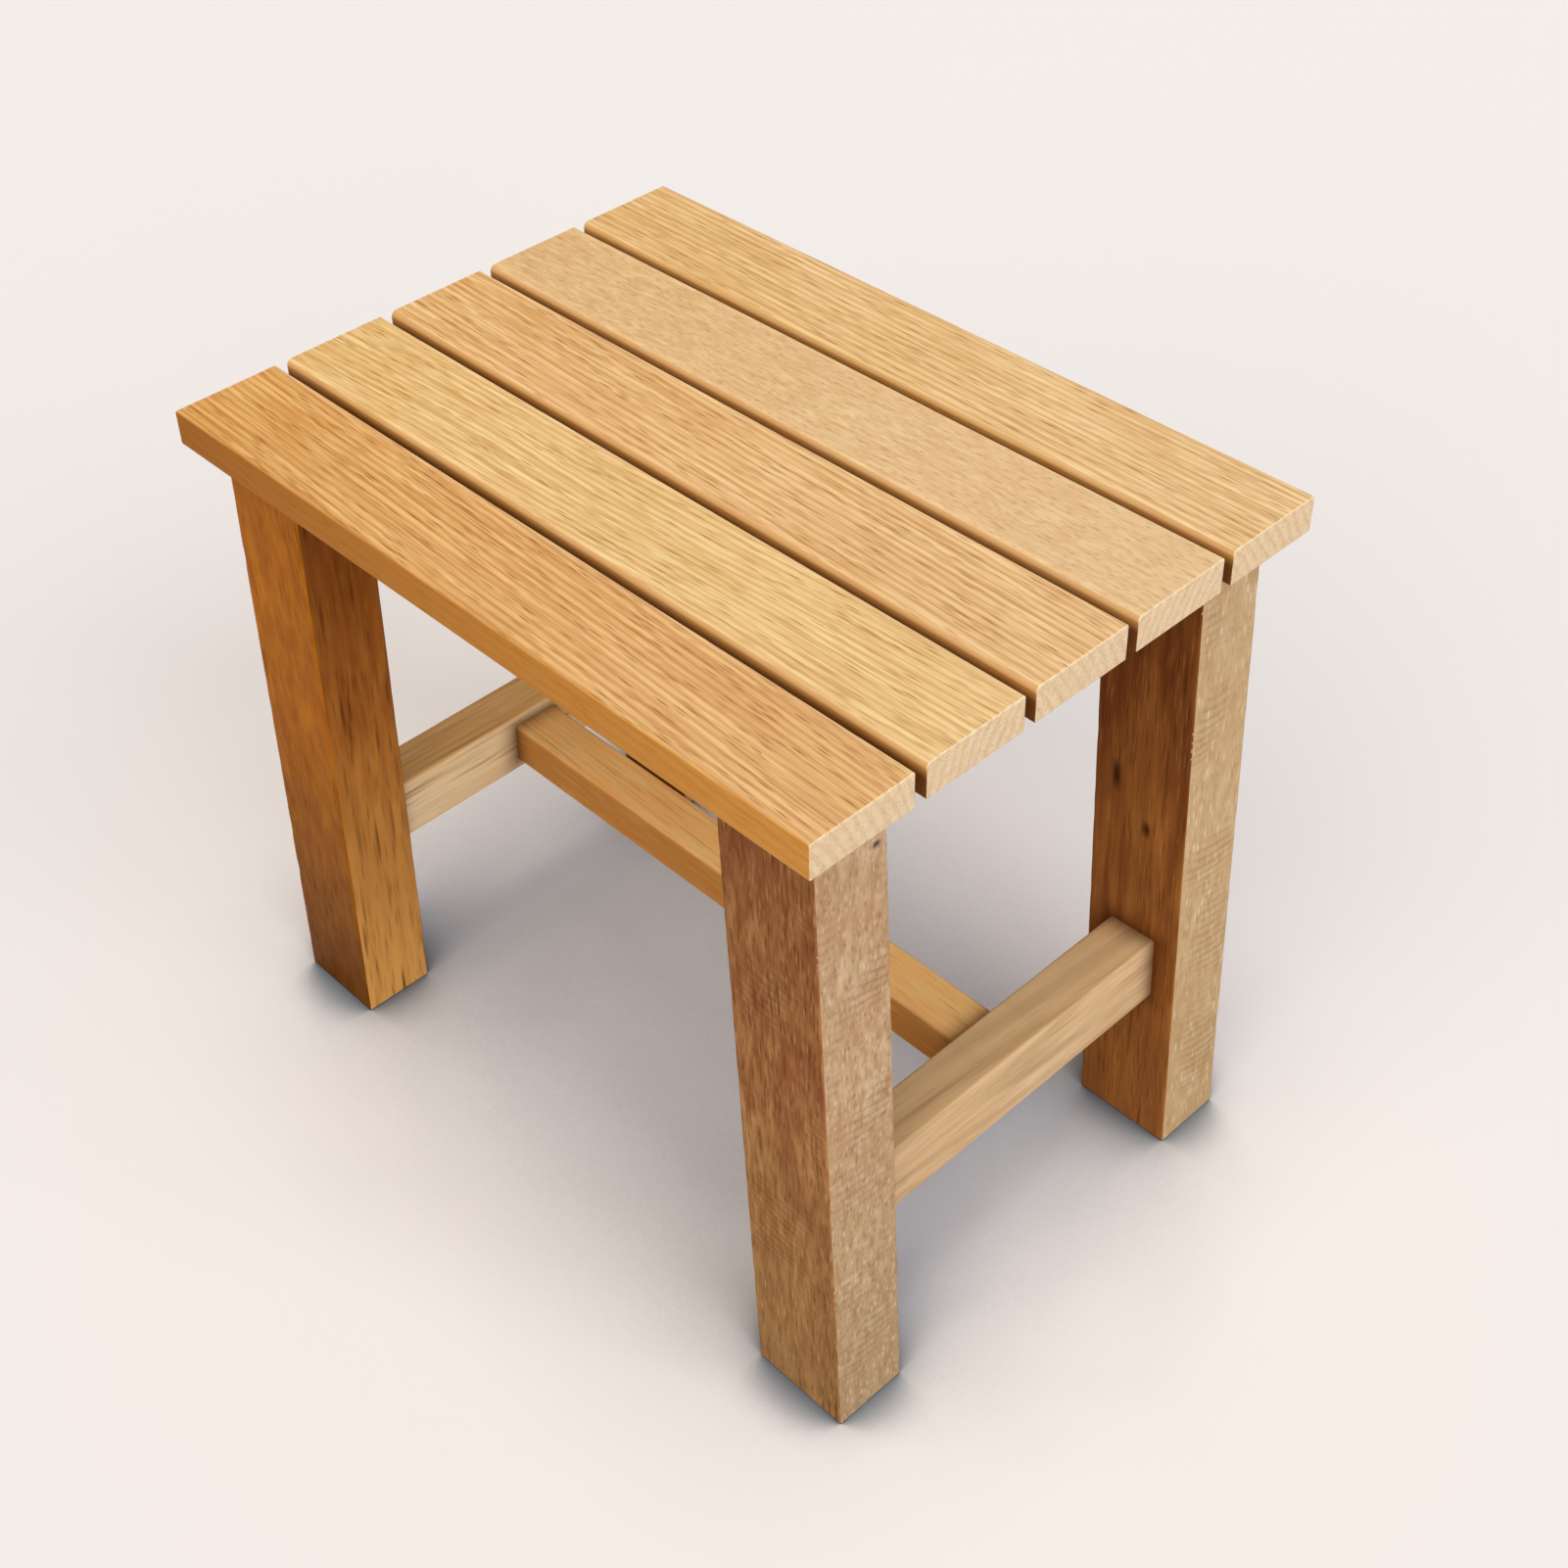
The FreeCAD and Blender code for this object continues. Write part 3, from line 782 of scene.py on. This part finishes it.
def sink_knots_and_shaded_chip(bm, low, high, knots_and_chip):
    """Sinks small knots and a chip a little into a leg, before it leans, and marks them; the chip's mark is
    painted shade.
    """
    bm.normal_update()

    def share(vert):
        most = 0
        for knot_and_chip_shade in knots_and_chip:
            axis = 0 if knot_and_chip_shade["facing"][1] else 1
            half_wide, half_long = knot_and_chip_shade["half_mm"]
            across = (vert.co[axis] - low[axis]) - knot_and_chip_shade["across"] * (high[axis] - low[axis])
            up = vert.co.z - knot_and_chip_shade["height_mm"] * MM
            spread = math.hypot(across / (half_wide * MM), up / (half_long * MM))
            if vert.normal.dot(Vector(knot_and_chip_shade["facing"])) > KNOT_FACING:
                most = max(most, KNOT_EDGE * (1 - spread))
        return most

    stain(bm, "knot_and_chip_shade", share)
    knot_and_chip_share = bm.verts.layers.float["knot_and_chip_shade"]
    for vert in bm.verts:
        vert.co -= vert.normal * KNOT_DEPTH * vert[knot_and_chip_share]


def leg_mesh(low, high, corner, seed):
    """A leg before it leans: its arrises eased and dented, its foot eased, its faces sawn and knotted."""
    bm = box_mesh(low, high)
    ease(bm, edges_along(bm, "Z"), LEG_ROUND, segments=3)
    feet = [face for face in bm.faces if face.normal.z < -FACING]
    ease(bm, [edge for face in feet for edge in face.edges], FOOT_ROUND, segments=2)
    for axis, cell in (("Z", LEG_CELL_ALONG), ("X", LEG_CELL), ("Y", LEG_CELL)):
        cut_cells(bm, axis, cell)
    knock_arrises(bm, low, high, seed)
    hollow(bm, LEG_HOLLOW, LEG_HOLLOW_MM, "Z", seed)
    saw_marks(bm, low, high, SAW_DEPTH[corner], seed)
    sink_knots_and_shaded_chip(bm, low, high, LEG_KNOTS_AND_SHADED_CHIP.get(corner, ()))
    return bm


def leg_post(corner, seed):
    """A finished leg, which leans to its own side."""
    node = f"leg_{corner}"
    side_name = corner.split("_")[1]
    low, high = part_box(node)
    centre = (low + high) / 2
    side = math.copysign(1, centre.x)
    lean = high.x - low.x - LEG_WIDTH
    inner = side * min(abs(low.x), abs(high.x))
    outer = inner + side * LEG_WIDTH
    foot = Vector((min(inner, outer), low.y, low.z))
    top = Vector((max(inner, outer), high.y, high.z))
    bm = leg_mesh(foot, top, corner, seed)
    for vert in bm.verts:
        vert.co.x += side * lean * (high.z - vert.co.z) / (high.z - low.z)
    bm.normal_update()
    paint_joint_shade(bm, [f"end_stretcher_{side_name}"])
    stain(bm, "foot", lambda vert: 1 - vert.co.z / FOOT_STAIN)
    stain(bm, "head", lambda vert: 1 - (high.z - vert.co.z) / HEAD_STAIN)
    for face in bm.faces:
        face.material_index = int(abs(face.normal.x) > LEG_SIDE_FACING)
    face_look, side_look = LEG_LOOKS[corner]
    faces = teak(f"teak_leg_{corner}_face", {**face_look, "seed": seed}, "Z", centre)
    sides = teak(f"teak_leg_{corner}_side", {**side_look, "seed": seed}, "Z", centre)
    return finished(f"leg_post_{corner}", bm, node, [faces, sides])


for seed, corner in enumerate(LEG_LOOKS, start=11):
    post = leg_post(corner, seed)
    print(post.name, "faces:", len(post.data.polygons))

# %% [markdown]
# ## Stretchers
# Low down, a rail joins the legs of each end, and one more rail joins those two. They are planed smooth, of
# paler teak with long soft streaks. Their tops, or for the middle rail its sides, are tinted by the surface's
# direction without a second finish, and that tint is painted light and shade.

# %% Colours of the stretchers
# Planed pale teak: straw-coloured with long soft streaks, and a browner top that is painted shade
STRAW = {
    **TEAK, "light": "#ffeec2", "mid": "#fbdaa6", "blotch": "#f8d8a8", "dark": "#ac8652", "pore": "#8f6c3e",
    "fleck": "#fdebc8", "mottle_mm": (90, 5), "line_mm": (90, 3.0), "line_depth": 0.85, "pore_mm": (24, 1.3),
    "pore_depth": 0.3, "fleck_depth": 0.4, "ring_mm": 9.0, "ring_depth": 0.1, "roughness": 0.55,
    "tints": {"painted_top_light_and_shade": ("#e2a23c", 0.7)},
}
# Planed teak, peach-coloured and smooth, with a lighter golden top that is painted light, and rings that run
# out in arches
PEACH = {
    **STRAW, "light": "#e0c096", "mid": "#ccab7d", "blotch": "#d8b084", "dark": "#7f5a30", "pore": "#86623a",
    "fleck": "#e6cda2", "line_mm": (70, 2.6), "line_depth": 0.3, "pore_depth": 0.15, "ring_mm": 7.0,
    "ring_depth": 0.22, "slant_deg": 4.0, "pith_mm": (4, 6), "sway_mm": 8,
    "tints": {"painted_top_light_and_shade": ("#ecc486", 0.42)},
}
# Planed teak, golden, with painted shade that deepens its sides
GOLDEN = {
    **TEAK, "light": "#ffd78c", "mid": "#ffc172", "blotch": "#ffb866", "dark": "#c2741e", "pore": "#a86414",
    "fleck": "#ffdc94", "fleck_depth": 0.3, "mottle_mm": (50, 4), "line_mm": (60, 2.2), "line_depth": 0.45,
    "pore_mm": (18, 1.2), "pore_depth": 0.3, "ring_depth": 0.06, "tints": {"painted_side_shade": ("#b87a34", 0.8)},
}
print("stretcher finishes: straw, peach and golden")

# %% [markdown]
# The rails' long edges are eased, and the end rails lean with the legs. On the real bench tenons hold them.
# Those don't show, so each rail just runs a little way into what it joins, and no gap opens at its end.

# %% Model the stretchers
RAIL_ROUND = 1.6 * MM
RAIL_CELL = 3.0 * MM
RAIL_HOLLOW = 0.08 * MM
RAIL_HOLLOW_MM = (90, 16)
RAIL_END_IN = 4.0 * MM
END_RAIL_THICK = 26.0 * MM
END_RAIL_HEIGHT = 36.0 * MM

leg_low, leg_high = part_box("leg_front_right")
LEAN = math.atan2(leg_high.x - leg_low.x - LEG_WIDTH, leg_high.z - leg_low.z)


def rail_mesh(low, high, grain, seed):
    """A rail's shape, with its top and sides marked."""
    bm = box_mesh(low, high)
    ease(bm, edges_along(bm, grain), RAIL_ROUND, segments=4)
    for axis in "XYZ":
        cut_cells(bm, axis, RAIL_CELL)
    hollow(bm, RAIL_HOLLOW, RAIL_HOLLOW_MM, grain, seed)
    bm.normal_update()
    # Painted light and shade on the top of a rail
    stain(bm, "painted_top_light_and_shade", lambda vert: vert.normal.z)
    # Painted shade on a rail's sides
    stain(bm, "painted_side_shade", lambda vert: 1 - abs(vert.normal.z))
    return bm


def end_rail(side_name, seed):
    """The finished rail between the two legs of one end."""
    node = f"end_stretcher_{side_name}"
    low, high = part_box(node)
    centre = (low + high) / 2
    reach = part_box(f"leg_rear_{side_name}")[0].y + RAIL_END_IN
    half = Vector((END_RAIL_THICK / 2, reach, END_RAIL_HEIGHT / 2))
    bm = rail_mesh(centre - half, centre + half, "Y", seed)
    turn = Euler((0, -math.copysign(LEAN, centre.x), 0)).to_matrix()
    bmesh.ops.rotate(bm, cent=centre, matrix=turn, verts=bm.verts)
    paint_joint_shade(bm, [f"leg_front_{side_name}", f"leg_rear_{side_name}", "middle_stretcher"])
    look = {"left": STRAW, "right": PEACH}[side_name]
    finish = teak(f"teak_planed_rail_{side_name}", {**look, "seed": seed}, "Y", centre)
    return finished(f"stretcher_rail_{side_name}", bm, node, [finish])


def middle_rail(seed):
    """The finished rail between the two end rails."""
    low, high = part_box("middle_stretcher")
    centre = (low + high) / 2
    end_low, end_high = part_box("end_stretcher_right")
    reach = (end_low.x + end_high.x) / 2 - RAIL_END_IN
    bm = rail_mesh(Vector((-reach, low.y, low.z)), Vector((reach, high.y, high.z)), "X", seed)
    paint_joint_shade(bm, ["end_stretcher_left", "end_stretcher_right"])
    finish = teak("teak_planed_rail_middle", {**GOLDEN, "seed": seed}, "X", centre)
    return finished("stretcher_rail_middle", bm, "middle_stretcher", [finish])


for rail in (end_rail("left", seed=21), end_rail("right", seed=22), middle_rail(seed=23)):
    print(rail.name, "faces:", len(rail.data.polygons))

# %% [markdown]
# ## Bearers, dowels and screws
# Two bearers under the slats, the dowels in the leg tops and the screws are hidden from above. Their CAD
# shapes are right as they are, so they keep them and get a finish: the bearers bare teak, the dowels plain
# beech and the screws bright steel.

# %% Finish the hidden pieces
STEEL_TURNING = 0.8 * MM


def dressed(node, material):
    """Gives a CAD node a finish in place of its plain one."""
    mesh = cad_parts[node].data
    mesh.materials.clear()
    mesh.materials.append(material)


for seed, side_name in enumerate(("left", "right"), start=31):
    node = f"seat_bearer_{side_name}"
    low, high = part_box(node)
    dressed(node, teak(f"teak_sawn_bearer_{side_name}", {**BROWN, "seed": seed}, "Y", (low + high) / 2))
# Turned beech: pale and even, with fine close rings
BEECH = {
    **TEAK, "light": "#e9cfa8", "mid": "#dfc095", "blotch": "#e0c097", "dark": "#cda877", "pore": "#b58f60",
    "ring_mm": 2.0,
}
dressed("leg_top_dowels", teak("beech_dowel", BEECH, "Z", Vector((0, 0, 0))))
# Turned stainless steel: bright, with a shine that varies a little over the head
steel = bpy.data.materials.new("stainless_steel_screw")
steel.use_nodes = True
steel_tree = steel.node_tree
steel_shader = steel_tree.nodes["Principled BSDF"]
steel_shader.inputs["Base Color"].default_value = linear("#c9c7c2")
steel_shader.inputs["Metallic"].default_value = 1.0
steel_coords = add(steel_tree, "TexCoord").outputs["Object"]
turned = add(steel_tree, "TexNoise", {"Vector": steel_coords, "Scale": 1 / STEEL_TURNING}).outputs[0]
shine = add(steel_tree, "MapRange", {"Value": turned, "To Min": 0.25, "To Max": 0.45}).outputs[0]
steel_tree.links.new(shine, steel_shader.inputs["Roughness"])
dressed("slat_screws", steel)
print("dressed:", [node for node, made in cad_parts.items() if not made.hide_render])
